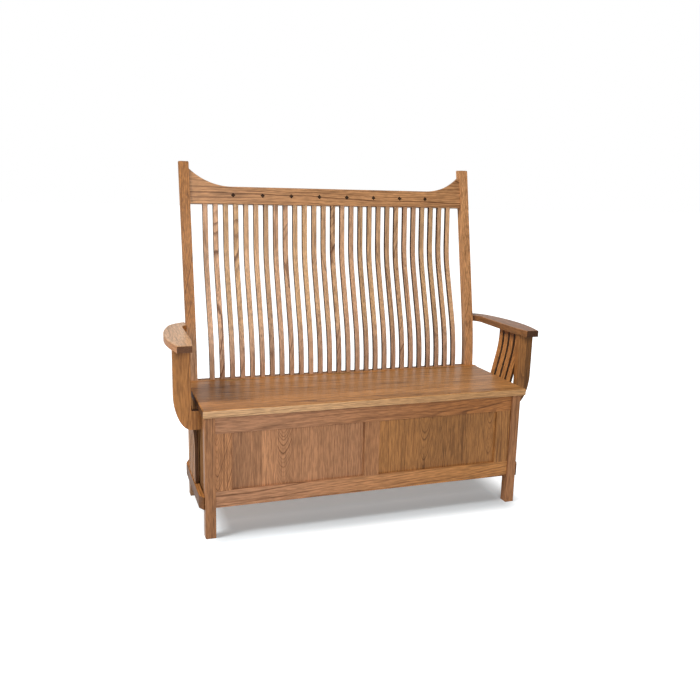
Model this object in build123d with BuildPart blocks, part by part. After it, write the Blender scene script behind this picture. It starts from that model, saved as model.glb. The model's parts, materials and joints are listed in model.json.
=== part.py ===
from build123d import *
from math import acos, cos, degrees, pi, radians, sin, sqrt, tan
import os

# A high-backed mission settle in oak. Its seat is a hinged lid over a storage box.
# x runs along the settle, the front faces -y, z is up, and the floor is z = 0.
# The origin lies on the floor under the middle of the bounding box.
# All lengths are millimetres and all angles are degrees.

# Fits and cuts
fit_clearance = 0.1
overrun = 5.0
arris = 1.5

# Legs, rear posts and their rake
leg_span = 1188.0
leg_size = 36.0
post_width = 35.0
post_depth = 34.0
post_setback = 387.0
bend_below_lid = 31.0
bend_radius = 1400.0
rake_angle = 11.5
settle_height = 1258.0
post_top_chamfer = 2.5

# Seat
seat_height = 457.0
lid_thickness = 26.0
lid_rest_gap = 0.3
lid_front_overhang = 21.0
lid_end_overhang = 7.0
lid_edge_round = 5.0
lid_under_round = 3.0
seat_rail_ahead_of_posts = 24.5
seat_rail_between_posts = 28.0
hinge_joint_gap = 1.5

# Front frame and its panels
frame_setback = 6.0
frame_thickness = 20.0
top_rail_height = 63.0
bottom_rail_height = 58.5
bottom_rail_lift = 107.0
end_stile_width = 57.0
mid_stile_width = 57.0
panel_recess = 9.5
panel_thickness = 6.0
groove_depth = 8.0
groove_clearance = 0.15
panel_float = 1.5
frame_tenon_length = 22.0
frame_tenon_thickness = 8.0
frame_tenon_shoulder = 8.0

# Box sides, back and floor
side_panel_setback = 3.0
side_panel_thickness = 18.0
back_panel_thickness = 12.0
floor_thickness = 12.0
floor_clearance = 0.5
cleat_size = 18.0
cleat_rise = 6.0
cleat_end_gap = 2.0

# Crest rail and its pegs
crest_thickness = 24.0
crest_setback = 5.0
crest_drop = 151.0
crest_height = 65.0
crest_end_height = 129.5
crest_sweep_radius = 225.0
crest_tenon_length = 20.0
crest_tenon_thickness = 10.0
crest_tenon_height = 46.0
crest_tenon_rise = 10.0
peg_count = 8
peg_spacing = 113.5
peg_size = 12.0
peg_height = 33.0
peg_depth = 8.0
peg_proud = 1.0
peg_chamfer = 0.8

# Bent slats of the back
slat_count = 27
slat_end_gap = 46.0
slat_width = 19.0
slat_depth = 16.0
slat_foot_behind_posts = 2.0
slat_head_behind_middle = 1.5
slat_head_lean = 3.0
slat_rise_shares = (0.0, 0.32, 0.28, 0.18)
slat_tenon = 12.0
slat_tenon_gap = 0.5

# Bowed arms, measured outwards from the legs and backwards from their front
arm_height_above_seat = 208.5
arm_thickness = 24.0
arm_edge_chamfer = 2.0
arm_setback = 34.0
arm_gap = 19.0
arm_front_gap = 29.0
arm_front_width = 49.0
arm_inner_taper = 93.0
arm_clip_depth = 57.0
arm_clip_reach = 91.0
arm_bow_reach = 100.5
arm_bow_share = 0.465
arm_shoulder_reach = 71.0
arm_shoulder_behind_post = 13.0
arm_hook_ahead_of_post = 20.0
arm_hook_behind_post = 22.0
arm_back_behind_post = 88.0

# Arm supports, each a board cut to a J
support_setback = 84.0
support_thickness = 25.0
support_gap = 29.5
support_width = 58.5
support_curve_run = 60.0
support_curve_rise = 125.0
support_foot_height = 66.0
support_foot_gap = 2.0
support_inner_round = 4.0

# Bent slats under the arms
arm_slat_count = 4
arm_slat_spacing = 40.8
arm_slat_first = 143.0
arm_slat_width = 28.0
arm_slat_thickness = 11.5
arm_slat_spread = 52.0
arm_slat_tenon = 9.0
arm_slat_rise_shares = (0.231, 0.355, 0.184, 0.190)

# Low side stretchers
stretcher_thickness = 18.0
stretcher_height = 44.5
stretcher_setback = 2.0
stretcher_behind_post = 4.0
stretcher_front_clip_x = 13.0
stretcher_front_clip_y = 22.0
stretcher_rear_clip_x = 16.0
stretcher_rear_clip_y = 41.0

# Butt hinges of the lid
hinge_count = 3
hinge_spacing = 420.0
hinge_length = 76.0
hinge_leaf_height = 20.0
hinge_leaf_thickness = 1.6
hinge_leaf_gap = 0.3
knuckle_count = 3
knuckle_radius = 3.2
knuckle_gap = 0.3
knuckle_relief = 0.5
hinge_pin_radius = 1.6
hinge_pin_clearance = 0.05

# Places worked out from the sizes above
rake_sin = sin(radians(rake_angle))
rake_cos = cos(radians(rake_angle))
rake_tan = tan(radians(rake_angle))
lid_underside = seat_height - lid_thickness
bend_start = lid_underside - bend_below_lid
bend_top = bend_start + bend_radius * rake_sin
bend_run = bend_radius * (1 - rake_cos)
post_top_run = bend_run + (settle_height - bend_top) * rake_tan
post_reach = post_setback + post_top_run + post_depth / rake_cos - post_top_chamfer * rake_sin
overall_depth = lid_front_overhang + post_reach
front_y = lid_front_overhang - overall_depth / 2
post_y = front_y + post_setback

outer_x = leg_span / 2
leg_inner_x = outer_x - leg_size
post_inner_x = outer_x - post_width
lid_end_x = outer_x + lid_end_overhang
side_outer_x = outer_x - side_panel_setback
side_inner_x = side_outer_x - side_panel_thickness
seat_rail_y = post_y - seat_rail_ahead_of_posts
seat_rail_back_y = post_y + seat_rail_between_posts
lid_back_y = seat_rail_y - hinge_joint_gap
hinge_y = seat_rail_y - hinge_joint_gap / 2


def facing(y):
    """Plane that looks forward at a given y, with x and z as its own axes."""
    return Plane.XZ.offset(-y)


def post_front(height):
    """The y of the rear posts' front faces at a height."""
    if height <= bend_start:
        return post_y
    if height <= bend_top:
        rise = height - bend_start
        return post_y + bend_radius - sqrt(bend_radius**2 - rise**2)
    return post_y + bend_run + (height - bend_top) * rake_tan


def span(low_x, high_x, low_y, high_y):
    """Rectangle between two pairs of sides, in the sketch that is open."""
    with Locations(((low_x + high_x) / 2, (low_y + high_y) / 2)):
        Rectangle(high_x - low_x, high_y - low_y)


def bent_side(foot, head, rise_shares, head_lean, foot_tenon, head_tenon):
    """One side of a bent slat, in the profile that is open, from its foot up to its head.

    It rises straight, bends out to a lean, slopes, bends back to the lean of its head and ends
    straight. Each stretch but the last takes its share of the rise. The lean in the middle is
    found by halving, so that the side steps out from the foot to the head. Both tenons run on
    straight, and the two ends of the side come back.
    """
    rise = head[1] - foot[1]
    straight_rise, low_rise, slope_rise, high_rise = [share * rise for share in rise_shares]
    head_rise = rise - straight_rise - low_rise - slope_rise - high_rise
    head_angle = radians(head_lean)
    least, most = head_angle, pi / 3
    for _ in range(50):
        lean = (least + most) / 2
        bends_out = low_rise * tan(lean / 2) + high_rise * tan((lean + head_angle) / 2)
        if bends_out + slope_rise * tan(lean) + head_rise * tan(head_angle) > head[0] - foot[0]:
            most = lean
        else:
            least = lean
    low_radius = low_rise / sin(lean)
    high_radius = high_rise / (sin(lean) - sin(head_angle))
    start = Line((foot[0], foot[1] - foot_tenon), (foot[0], foot[1] + straight_rise))
    low_bend = JernArc(start @ 1, (0, 1), low_radius, -degrees(lean))
    slope = PolarLine(low_bend @ 1, slope_rise / cos(lean), 90 - degrees(lean))
    high_bend = JernArc(slope @ 1, slope % 1, high_radius, degrees(lean) - head_lean)
    head_length = head_rise / cos(head_angle) + head_tenon
    end = PolarLine(high_bend @ 1, head_length, 90 - head_lean)
    return start @ 0, end @ 1


os.makedirs("parts", exist_ok=True)

# Plane of the raked crest rail's front face, and plane across the slats where they enter it
crest_bottom = settle_height - crest_drop
crest_front_y = post_front(crest_bottom) + crest_setback * rake_cos
crest_front_z = crest_bottom - crest_setback * rake_sin
crest_plane = Plane(
    origin=(0, crest_front_y, crest_front_z),
    x_dir=(1, 0, 0),
    z_dir=(0, -rake_cos, rake_sin),
)
slat_head_inset = crest_thickness / 2 + slat_head_behind_middle
slat_head_y = crest_front_y + slat_head_inset * rake_cos
slat_head_z = crest_front_z - slat_head_inset * rake_sin
slat_spacing = (2 * (post_inner_x - slat_end_gap) - slat_width) / (slat_count - 1)
slat_foot_y = post_y + slat_foot_behind_posts
slat_head_sin = sin(radians(slat_head_lean))
slat_head_cos = cos(radians(slat_head_lean))
slat_head_plane = Plane(
    origin=(0, slat_head_y, slat_head_z),
    x_dir=(1, 0, 0),
    z_dir=(0, slat_head_sin, slat_head_cos),
)
crest_tenon_inset = (crest_thickness - crest_tenon_thickness) / 2
crest_tenon_middle = crest_tenon_rise + crest_tenon_height / 2

# Heights of the front frame
top_rail_bottom = lid_underside - top_rail_height
bottom_rail_top = bottom_rail_lift + bottom_rail_height
frame_y = front_y + frame_setback
frame_tenon_y = frame_y + (frame_thickness - frame_tenon_thickness) / 2
panel_y = frame_y + panel_recess
groove_y = panel_y - groove_clearance
groove_width = panel_thickness + 2 * groove_clearance
rail_spans = [(top_rail_bottom, lid_underside), (bottom_rail_lift, bottom_rail_top)]


# Front leg: a square post with two mortises for the front rails
with BuildPart() as front_leg_right:
    with BuildSketch(Plane.XY):
        span(leg_inner_x, outer_x, front_y, front_y + leg_size)
    extrude(amount=lid_underside)
    chamfer(front_leg_right.edges().filter_by(Axis.Z), length=arris)
    chamfer(front_leg_right.faces().sort_by(Axis.Z)[0].edges(), length=arris)
    with BuildSketch(facing(frame_tenon_y - fit_clearance)):
        for low_z, high_z in rail_spans:
            span(
                leg_inner_x - overrun,
                leg_inner_x + frame_tenon_length + fit_clearance,
                low_z + frame_tenon_shoulder - fit_clearance,
                high_z - frame_tenon_shoulder + fit_clearance,
            )
    extrude(amount=-(frame_tenon_thickness + 2 * fit_clearance), mode=Mode.SUBTRACT)
front_leg_right.part.label = "front_leg_right"
export_step(front_leg_right.part, "parts/front_leg_right.step")

with BuildPart() as front_leg_left:
    mirror(front_leg_right.part, about=Plane.YZ)
front_leg_left.part.label = "front_leg_left"
export_step(front_leg_left.part, "parts/front_leg_left.step")

# Rear post: upright to the seat, bent once, then straight along the rake
with BuildPart() as rear_post_right:
    with BuildSketch(Plane.YZ.offset(post_inner_x)):
        with BuildLine():
            front_foot = Line((post_y, 0), (post_y, bend_start))
            front_bend = JernArc(front_foot @ 1, (0, 1), bend_radius, -rake_angle)
            front_top = Line(front_bend @ 1, (post_y + post_top_run, settle_height))
            rear_foot = Line((post_y + post_depth, 0), (post_y + post_depth, bend_start))
            rear_bend = JernArc(rear_foot @ 1, (0, 1), bend_radius - post_depth, -rake_angle)
            rear_top_y = post_y + post_top_run + post_depth / rake_cos
            rear_top = Line(rear_bend @ 1, (rear_top_y, settle_height))
            Line(front_top @ 1, rear_top @ 1)
            Line(front_foot @ 0, rear_foot @ 0)
        make_face()
    extrude(amount=post_width)
    chamfer(rear_post_right.faces().sort_by(Axis.Z)[-1].edges(), length=post_top_chamfer)
    chamfer(rear_post_right.faces().sort_by(Axis.Z)[0].edges(), length=arris)
    with BuildSketch(crest_plane.offset(fit_clearance - crest_tenon_inset)):
        with Locations((0, crest_tenon_middle)):
            Rectangle(
                2 * (post_inner_x + crest_tenon_length + fit_clearance),
                crest_tenon_height + 2 * fit_clearance,
            )
    extrude(amount=-(crest_tenon_thickness + 2 * fit_clearance), mode=Mode.SUBTRACT)
rear_post_right.part.label = "rear_post_right"
export_step(rear_post_right.part, "parts/rear_post_right.step")

with BuildPart() as rear_post_left:
    mirror(rear_post_right.part, about=Plane.YZ)
rear_post_left.part.label = "rear_post_left"
export_step(rear_post_left.part, "parts/rear_post_left.step")

# Crest rail: its top sweeps up to the posts, and its lower edge holds the slats
crest_rise = crest_end_height - crest_height
crest_sweep_angle = degrees(acos(1 - crest_rise / crest_sweep_radius))
crest_flat_x = post_inner_x - crest_sweep_radius * sin(radians(crest_sweep_angle))
with BuildPart() as crest_rail:
    with BuildSketch(crest_plane):
        with BuildLine():
            Line((-post_inner_x, 0), (post_inner_x, 0))
            Line((-crest_flat_x, crest_height), (crest_flat_x, crest_height))
            sweep_right = JernArc(
                (crest_flat_x, crest_height), (1, 0), crest_sweep_radius, crest_sweep_angle
            )
            sweep_left = JernArc(
                (-crest_flat_x, crest_height), (-1, 0), crest_sweep_radius, -crest_sweep_angle
            )
            Line(sweep_right @ 1, (post_inner_x, 0))
            Line(sweep_left @ 1, (-post_inner_x, 0))
        make_face()
    extrude(amount=-crest_thickness)
    with BuildSketch(crest_plane.offset(-crest_tenon_inset)):
        with Locations((0, crest_tenon_middle)):
            Rectangle(2 * (post_inner_x + crest_tenon_length), crest_tenon_height)
    extrude(amount=-crest_tenon_thickness)
    with BuildSketch(slat_head_plane.offset(-overrun)):
        with GridLocations(slat_spacing, slat_spacing, slat_count, 1):
            Rectangle(
                slat_width + 2 * fit_clearance,
                slat_depth * slat_head_cos + 2 * fit_clearance,
            )
    extrude(amount=overrun + slat_tenon + slat_tenon_gap, mode=Mode.SUBTRACT)
    with BuildSketch(crest_plane):
        with Locations((0, peg_height)):
            with GridLocations(peg_spacing, peg_spacing, peg_count, 1):
                Rectangle(
                    peg_size + 2 * fit_clearance, peg_size + 2 * fit_clearance, rotation=45
                )
    extrude(amount=-(peg_depth + fit_clearance), mode=Mode.SUBTRACT)
crest_rail.part.label = "crest_rail"
export_step(crest_rail.part, "parts/crest_rail.step")

# Square pegs of dark wood, set on their corners in the crest rail
with BuildPart() as crest_pegs:
    with BuildSketch(crest_plane.offset(peg_proud)):
        with Locations((0, peg_height)):
            with GridLocations(peg_spacing, peg_spacing, peg_count, 1):
                Rectangle(peg_size, peg_size, rotation=45)
    extrude(amount=-(peg_proud + peg_depth))
    peg_heads = crest_pegs.faces().filter_by(Axis((0, 0, 0), tuple(crest_plane.z_dir)))
    peg_heads = peg_heads.sort_by(Axis((0, 0, 0), tuple(crest_plane.z_dir)))[-peg_count:]
    chamfer(peg_heads.edges(), length=peg_chamfer)
crest_pegs.part.label = "crest_pegs"
export_step(crest_pegs.part, "parts/crest_pegs.step")

# Back slats: each is bent back above the loins and forward again below the crest rail
for number in range(slat_count):
    slat_x = (number - (slat_count - 1) / 2) * slat_spacing
    with BuildPart() as back_slat:
        with BuildSketch(Plane.YZ.offset(slat_x)):
            with BuildLine():
                side_ends = [
                    bent_side(
                        foot=(slat_foot_y + shift, seat_height),
                        head=(slat_head_y + shift - slat_depth / 2, slat_head_z),
                        rise_shares=slat_rise_shares,
                        head_lean=slat_head_lean,
                        foot_tenon=slat_tenon,
                        head_tenon=slat_tenon - (shift - slat_depth / 2) * slat_head_sin,
                    )
                    for shift in (0, slat_depth)
                ]
                Line(side_ends[0][0], side_ends[1][0])
                Line(side_ends[0][1], side_ends[1][1])
            make_face()
        extrude(amount=slat_width / 2, both=True)
    back_slat.part.label = f"back_slat_{number + 1:02d}"
    export_step(back_slat.part, f"parts/back_slat_{number + 1:02d}.step")

# Seat back rail: the fixed strip behind the lid. It carries the slats and the hinges.
hinge_places = [(step - (hinge_count - 1) / 2) * hinge_spacing for step in range(hinge_count)]
hinge_low_z = seat_height - knuckle_radius - hinge_leaf_height
hinge_mortise_low_z = hinge_low_z - fit_clearance
hinge_mortise_length = hinge_length + 2 * fit_clearance
hinge_mortise_depth = hinge_leaf_gap / 2 + hinge_leaf_thickness + fit_clearance
hinge_relief_radius = knuckle_radius + knuckle_relief
hinge_relief_length = hinge_length + 2 * knuckle_relief
knuckle_spacing = hinge_length / knuckle_count
knuckle_length = knuckle_spacing - knuckle_gap
with BuildPart() as seat_back_rail:
    with BuildSketch(Plane.XY.offset(lid_underside)):
        span(-lid_end_x, lid_end_x, seat_rail_y, post_y)
        span(
            fit_clearance - post_inner_x, post_inner_x - fit_clearance, post_y, seat_rail_back_y
        )
    extrude(amount=lid_thickness)
    with BuildSketch(Plane.XY.offset(seat_height - slat_tenon - slat_tenon_gap)):
        with Locations((0, slat_foot_y + slat_depth / 2)):
            with GridLocations(slat_spacing, slat_spacing, slat_count, 1):
                Rectangle(slat_width + 2 * fit_clearance, slat_depth + 2 * fit_clearance)
    extrude(amount=slat_tenon + slat_tenon_gap, mode=Mode.SUBTRACT)
    with BuildSketch(facing(hinge_y)):
        for hinge_x in hinge_places:
            low_x = hinge_x - hinge_mortise_length / 2
            span(low_x, low_x + hinge_mortise_length, hinge_mortise_low_z, seat_height)
    extrude(amount=-hinge_mortise_depth, mode=Mode.SUBTRACT)
    for hinge_x in hinge_places:
        with BuildSketch(Plane.YZ.offset(hinge_x)):
            with Locations((hinge_y, seat_height)):
                Circle(hinge_relief_radius)
        extrude(amount=hinge_relief_length / 2, both=True, mode=Mode.SUBTRACT)
seat_back_rail.part.label = "seat_back_rail"
export_step(seat_back_rail.part, "parts/seat_back_rail.step")

# Seat lid: one thick board with eased edges, cut out for its hinge leaves
with BuildPart() as seat_lid:
    with BuildSketch(Plane.XY.offset(lid_underside + lid_rest_gap)):
        span(-lid_end_x, lid_end_x, front_y - lid_front_overhang, lid_back_y)
    extrude(amount=lid_thickness - lid_rest_gap)
    lid_top_edges = seat_lid.faces().sort_by(Axis.Z)[-1].edges().sort_by(Axis.Y)[:-1]
    fillet(lid_top_edges, radius=lid_edge_round)
    lid_low_edges = seat_lid.faces().sort_by(Axis.Z)[0].edges().sort_by(Axis.Y)[:-1]
    fillet(lid_low_edges, radius=lid_under_round)
    with BuildSketch(facing(hinge_y)):
        for hinge_x in hinge_places:
            low_x = hinge_x - hinge_mortise_length / 2
            span(low_x, low_x + hinge_mortise_length, hinge_mortise_low_z, seat_height)
    extrude(amount=hinge_mortise_depth, mode=Mode.SUBTRACT)
    for hinge_x in hinge_places:
        with BuildSketch(Plane.YZ.offset(hinge_x)):
            with Locations((hinge_y, seat_height)):
                Circle(hinge_relief_radius)
        extrude(amount=hinge_relief_length / 2, both=True, mode=Mode.SUBTRACT)
seat_lid.part.label = "seat_lid"
export_step(seat_lid.part, "parts/seat_lid.step")

# Hinge leaves: flat plates in the joint behind the lid, with knuckles at the seat's surface
hinge_leaf_top_z = seat_height - knuckle_radius - knuckle_gap
for name, side, own_knuckles in (
    ("hinge_leaves_rail", 1, range(0, knuckle_count, 2)),
    ("hinge_leaves_lid", -1, range(1, knuckle_count, 2)),
):
    knuckle_places = [
        hinge_x + (place - (knuckle_count - 1) / 2) * knuckle_spacing
        for hinge_x in hinge_places
        for place in own_knuckles
    ]
    with BuildPart() as hinge_leaves:
        with BuildSketch(facing(hinge_y + side * hinge_leaf_gap / 2)):
            for hinge_x in hinge_places:
                low_x = hinge_x - hinge_length / 2
                span(low_x, low_x + hinge_length, hinge_low_z, hinge_leaf_top_z)
            for knuckle_x in knuckle_places:
                low_x = knuckle_x - knuckle_length / 2
                span(low_x, low_x + knuckle_length, hinge_low_z, seat_height)
        extrude(amount=-side * hinge_leaf_thickness)
        for knuckle_x in knuckle_places:
            with BuildSketch(Plane.YZ.offset(knuckle_x)):
                with Locations((hinge_y, seat_height)):
                    Circle(knuckle_radius)
            extrude(amount=knuckle_length / 2, both=True)
        with BuildSketch(Plane.YZ):
            with Locations((hinge_y, seat_height)):
                Circle(hinge_pin_radius + hinge_pin_clearance)
        extrude(amount=lid_end_x, both=True, mode=Mode.SUBTRACT)
    hinge_leaves.part.label = name
    export_step(hinge_leaves.part, f"parts/{name}.step")

# Hinge pins, one through the knuckles of each hinge
with BuildPart() as hinge_pins:
    for hinge_x in hinge_places:
        with BuildSketch(Plane.YZ.offset(hinge_x)):
            with Locations((hinge_y, seat_height)):
                Circle(hinge_pin_radius)
        extrude(amount=hinge_length / 2, both=True)
hinge_pins.part.label = "hinge_pins"
export_step(hinge_pins.part, "parts/hinge_pins.step")

# Front rails between the legs, tenoned at both ends and grooved along one edge
for name, low_z, high_z, grooved_z in (
    ("front_top_rail", top_rail_bottom, lid_underside, top_rail_bottom),
    ("front_bottom_rail", bottom_rail_lift, bottom_rail_top, bottom_rail_top),
):
    with BuildPart() as front_rail:
        with BuildSketch(facing(frame_y)):
            span(-leg_inner_x, leg_inner_x, low_z, high_z)
        extrude(amount=-frame_thickness)
        with BuildSketch(facing(frame_tenon_y)):
            tenon_tip_x = leg_inner_x + frame_tenon_length
            low_shoulder_z = low_z + frame_tenon_shoulder
            high_shoulder_z = high_z - frame_tenon_shoulder
            span(-tenon_tip_x, tenon_tip_x, low_shoulder_z, high_shoulder_z)
        extrude(amount=-frame_tenon_thickness)
        with BuildSketch(facing(groove_y)):
            span(-leg_inner_x, leg_inner_x, grooved_z - groove_depth, grooved_z + groove_depth)
        extrude(amount=-groove_width, mode=Mode.SUBTRACT)
    front_rail.part.label = name
    export_step(front_rail.part, f"parts/{name}.step")

# Stiles between the front rails. Their tongues enter the rails, and their grooves hold the panels.
stile_tongue = groove_depth - groove_clearance
end_stile_inner_x = leg_inner_x - end_stile_width
mid_stile_x = mid_stile_width / 2
for name, low_x, high_x, grooved_sides in (
    ("front_stile_left", -leg_inner_x, -end_stile_inner_x, [-end_stile_inner_x]),
    ("front_mid_stile", -mid_stile_x, mid_stile_x, [-mid_stile_x, mid_stile_x]),
    ("front_stile_right", end_stile_inner_x, leg_inner_x, [end_stile_inner_x]),
):
    with BuildPart() as front_stile:
        with BuildSketch(facing(frame_y)):
            span(low_x, high_x, bottom_rail_top, top_rail_bottom)
        extrude(amount=-frame_thickness)
        with BuildSketch(facing(panel_y)):
            span(low_x, high_x, bottom_rail_top - stile_tongue, top_rail_bottom + stile_tongue)
        extrude(amount=-panel_thickness)
        with BuildSketch(facing(groove_y)):
            for side_x in grooved_sides:
                span(side_x - groove_depth, side_x + groove_depth, bottom_rail_lift, lid_underside)
        extrude(amount=-groove_width, mode=Mode.SUBTRACT)
    front_stile.part.label = name
    export_step(front_stile.part, f"parts/{name}.step")

# Front panel: a flat board that floats in the grooves
panel_entry = groove_depth - panel_float
with BuildPart() as front_panel_right:
    with BuildSketch(facing(panel_y)):
        span(
            mid_stile_x - panel_entry,
            end_stile_inner_x + panel_entry,
            bottom_rail_top - panel_entry,
            top_rail_bottom + panel_entry,
        )
    extrude(amount=-panel_thickness)
front_panel_right.part.label = "front_panel_right"
export_step(front_panel_right.part, "parts/front_panel_right.step")

with BuildPart() as front_panel_left:
    mirror(front_panel_right.part, about=Plane.YZ)
front_panel_left.part.label = "front_panel_left"
export_step(front_panel_left.part, "parts/front_panel_left.step")

# Side of the box, between the front leg and the rear post
with BuildPart() as side_panel_right:
    with BuildSketch(Plane.XY.offset(bottom_rail_lift)):
        span(side_inner_x, side_outer_x, front_y + leg_size, post_y)
    extrude(amount=lid_underside - bottom_rail_lift)
side_panel_right.part.label = "side_panel_right"
export_step(side_panel_right.part, "parts/side_panel_right.step")

with BuildPart() as side_panel_left:
    mirror(side_panel_right.part, about=Plane.YZ)
side_panel_left.part.label = "side_panel_left"
export_step(side_panel_left.part, "parts/side_panel_left.step")

# Back of the box, between the rear posts and under the seat back rail
with BuildPart() as back_panel:
    with BuildSketch(Plane.XY.offset(bottom_rail_lift)):
        span(-post_inner_x, post_inner_x, post_y, post_y + back_panel_thickness)
    extrude(amount=lid_underside - bottom_rail_lift)
back_panel.part.label = "back_panel"
export_step(back_panel.part, "parts/back_panel.step")

# Floor of the box on its cleats, notched round the front legs
frame_back_y = frame_y + frame_thickness
cleat_low_z = bottom_rail_lift + cleat_rise
floor_z = cleat_low_z + cleat_size
floor_x = side_inner_x - floor_clearance
with BuildPart() as box_floor:
    with BuildSketch(Plane.XY.offset(floor_z)):
        span(-floor_x, floor_x, frame_back_y + floor_clearance, post_y - floor_clearance)
        for side in (-1, 1):
            with Locations((side * outer_x, front_y)):
                Rectangle(
                    2 * (leg_size + floor_clearance),
                    2 * (leg_size + floor_clearance),
                    mode=Mode.SUBTRACT,
                )
    extrude(amount=floor_thickness)
box_floor.part.label = "box_floor"
export_step(box_floor.part, "parts/box_floor.step")

# Cleats under the box floor: a long pair at the front and back, and a pair at the sides
long_cleat_x = side_inner_x - cleat_size - cleat_end_gap
side_cleat_front = frame_back_y + cleat_size + cleat_end_gap
with BuildPart() as floor_cleats_long:
    with BuildSketch(Plane.XY.offset(cleat_low_z)):
        for low_y in (frame_back_y, post_y - cleat_size):
            span(-long_cleat_x, long_cleat_x, low_y, low_y + cleat_size)
    extrude(amount=cleat_size)
floor_cleats_long.part.label = "floor_cleats_long"
export_step(floor_cleats_long.part, "parts/floor_cleats_long.step")

with BuildPart() as floor_cleats_side:
    with BuildSketch(Plane.XY.offset(cleat_low_z)):
        for low_x in (-side_inner_x, side_inner_x - cleat_size):
            span(low_x, low_x + cleat_size, side_cleat_front, post_y - cleat_size - cleat_end_gap)
    extrude(amount=cleat_size)
floor_cleats_side.part.label = "floor_cleats_side"
export_step(floor_cleats_side.part, "parts/floor_cleats_side.step")

# Bent slats under the arm, from its underside down to the low stretcher
stretcher_top = bottom_rail_lift + stretcher_height
stretcher_middle_x = outer_x + stretcher_thickness / 2
arm_top = seat_height + arm_height_above_seat
arm_underside = arm_top - arm_thickness
arm_slat_foot_x = stretcher_middle_x - arm_slat_thickness / 2
arm_slat_head_x = arm_slat_foot_x + arm_slat_spread
arm_slat_middle = arm_slat_first + arm_slat_spacing * (arm_slat_count - 1) / 2
with BuildPart() as arm_slats_right:
    for number in range(arm_slat_count):
        slat_y = front_y + arm_slat_first + number * arm_slat_spacing
        with BuildSketch(facing(slat_y)):
            with BuildLine():
                side_ends = [
                    bent_side(
                        foot=(arm_slat_foot_x + shift, stretcher_top),
                        head=(arm_slat_head_x + shift, arm_underside),
                        rise_shares=arm_slat_rise_shares,
                        head_lean=0,
                        foot_tenon=arm_slat_tenon,
                        head_tenon=arm_slat_tenon,
                    )
                    for shift in (0, arm_slat_thickness)
                ]
                Line(side_ends[0][0], side_ends[1][0])
                Line(side_ends[0][1], side_ends[1][1])
            make_face()
        extrude(amount=arm_slat_width / 2, both=True)
arm_slats_right.part.label = "arm_slats_right"
export_step(arm_slats_right.part, "parts/arm_slats_right.step")

with BuildPart() as arm_slats_left:
    mirror(arm_slats_right.part, about=Plane.YZ)
arm_slats_left.part.label = "arm_slats_left"
export_step(arm_slats_left.part, "parts/arm_slats_left.step")

# Low side stretcher on the outside of leg and post, with its outer corners clipped
arm_mortise_x = arm_slat_thickness + 2 * fit_clearance
arm_mortise_y = arm_slat_width + 2 * fit_clearance
arm_mortise_depth = arm_slat_tenon + slat_tenon_gap
with BuildPart() as side_stretcher_right:
    stretcher_y0 = front_y + stretcher_setback
    stretcher_y1 = post_y + stretcher_behind_post
    stretcher_outer_x = outer_x + stretcher_thickness
    with BuildSketch(Plane.XY.offset(bottom_rail_lift)):
        with BuildLine():
            Polyline(
                (outer_x, stretcher_y0),
                (stretcher_outer_x - stretcher_front_clip_x, stretcher_y0),
                (stretcher_outer_x, stretcher_y0 + stretcher_front_clip_y),
                (stretcher_outer_x, stretcher_y1 - stretcher_rear_clip_y),
                (stretcher_outer_x - stretcher_rear_clip_x, stretcher_y1),
                (outer_x, stretcher_y1),
                close=True,
            )
        make_face()
    extrude(amount=stretcher_height)
    with BuildSketch(Plane.XY.offset(stretcher_top)):
        with Locations((stretcher_middle_x, front_y + arm_slat_middle)):
            with GridLocations(arm_slat_spacing, arm_slat_spacing, 1, arm_slat_count):
                Rectangle(arm_mortise_x, arm_mortise_y)
    extrude(amount=-arm_mortise_depth, mode=Mode.SUBTRACT)
side_stretcher_right.part.label = "side_stretcher_right"
export_step(side_stretcher_right.part, "parts/side_stretcher_right.step")

with BuildPart() as side_stretcher_left:
    mirror(side_stretcher_right.part, about=Plane.YZ)
side_stretcher_left.part.label = "side_stretcher_left"
export_step(side_stretcher_left.part, "parts/side_stretcher_left.step")

# Arm: bowed outside, nearly straight inside, and hooked in behind to meet the post
arm_front_y = front_y + arm_setback
arm_back_y = post_y + arm_back_behind_post
arm_bow_y = arm_front_y + arm_bow_share * (arm_back_y - arm_front_y)
front_inner = (outer_x + arm_front_gap, arm_front_y)
front_outer = (outer_x + arm_front_gap + arm_front_width, arm_front_y)
clip_end = (outer_x + arm_clip_reach, arm_front_y + arm_clip_depth)
bow = (outer_x + arm_bow_reach, arm_bow_y)
shoulder = (outer_x + arm_shoulder_reach, post_y + arm_shoulder_behind_post)
back_corner = (outer_x, arm_back_y)
hook = (outer_x, post_y + arm_hook_behind_post)
inner_back = (outer_x + arm_gap, post_y - arm_hook_ahead_of_post)
inner_front = (outer_x + arm_gap, arm_front_y + arm_inner_taper)
with BuildPart() as arm_right:
    with BuildSketch(Plane.XY.offset(arm_underside)):
        with BuildLine():
            Polyline(inner_back, inner_front, front_inner, front_outer, clip_end)
            outer_bow = ThreePointArc(clip_end, bow, shoulder)
            TangentArc(shoulder, back_corner, tangent=outer_bow % 1)
            Line(back_corner, hook)
            TangentArc(inner_back, hook, tangent=(0, 1))
        make_face()
    extrude(amount=arm_thickness)
    arm_rim = arm_right.faces().sort_by(Axis.Z)[-1].edges().sort_by(Axis.X)[1:]
    chamfer(arm_rim, length=arm_edge_chamfer)
    with BuildSketch(Plane.XY.offset(arm_underside)):
        with Locations((arm_slat_head_x + arm_slat_thickness / 2, front_y + arm_slat_middle)):
            with GridLocations(arm_slat_spacing, arm_slat_spacing, 1, arm_slat_count):
                Rectangle(arm_mortise_x, arm_mortise_y)
    extrude(amount=arm_mortise_depth, mode=Mode.SUBTRACT)
arm_right.part.label = "arm_right"
export_step(arm_right.part, "parts/arm_right.step")

with BuildPart() as arm_left:
    mirror(arm_right.part, about=Plane.YZ)
arm_left.part.label = "arm_left"
export_step(arm_left.part, "parts/arm_left.step")

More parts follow.
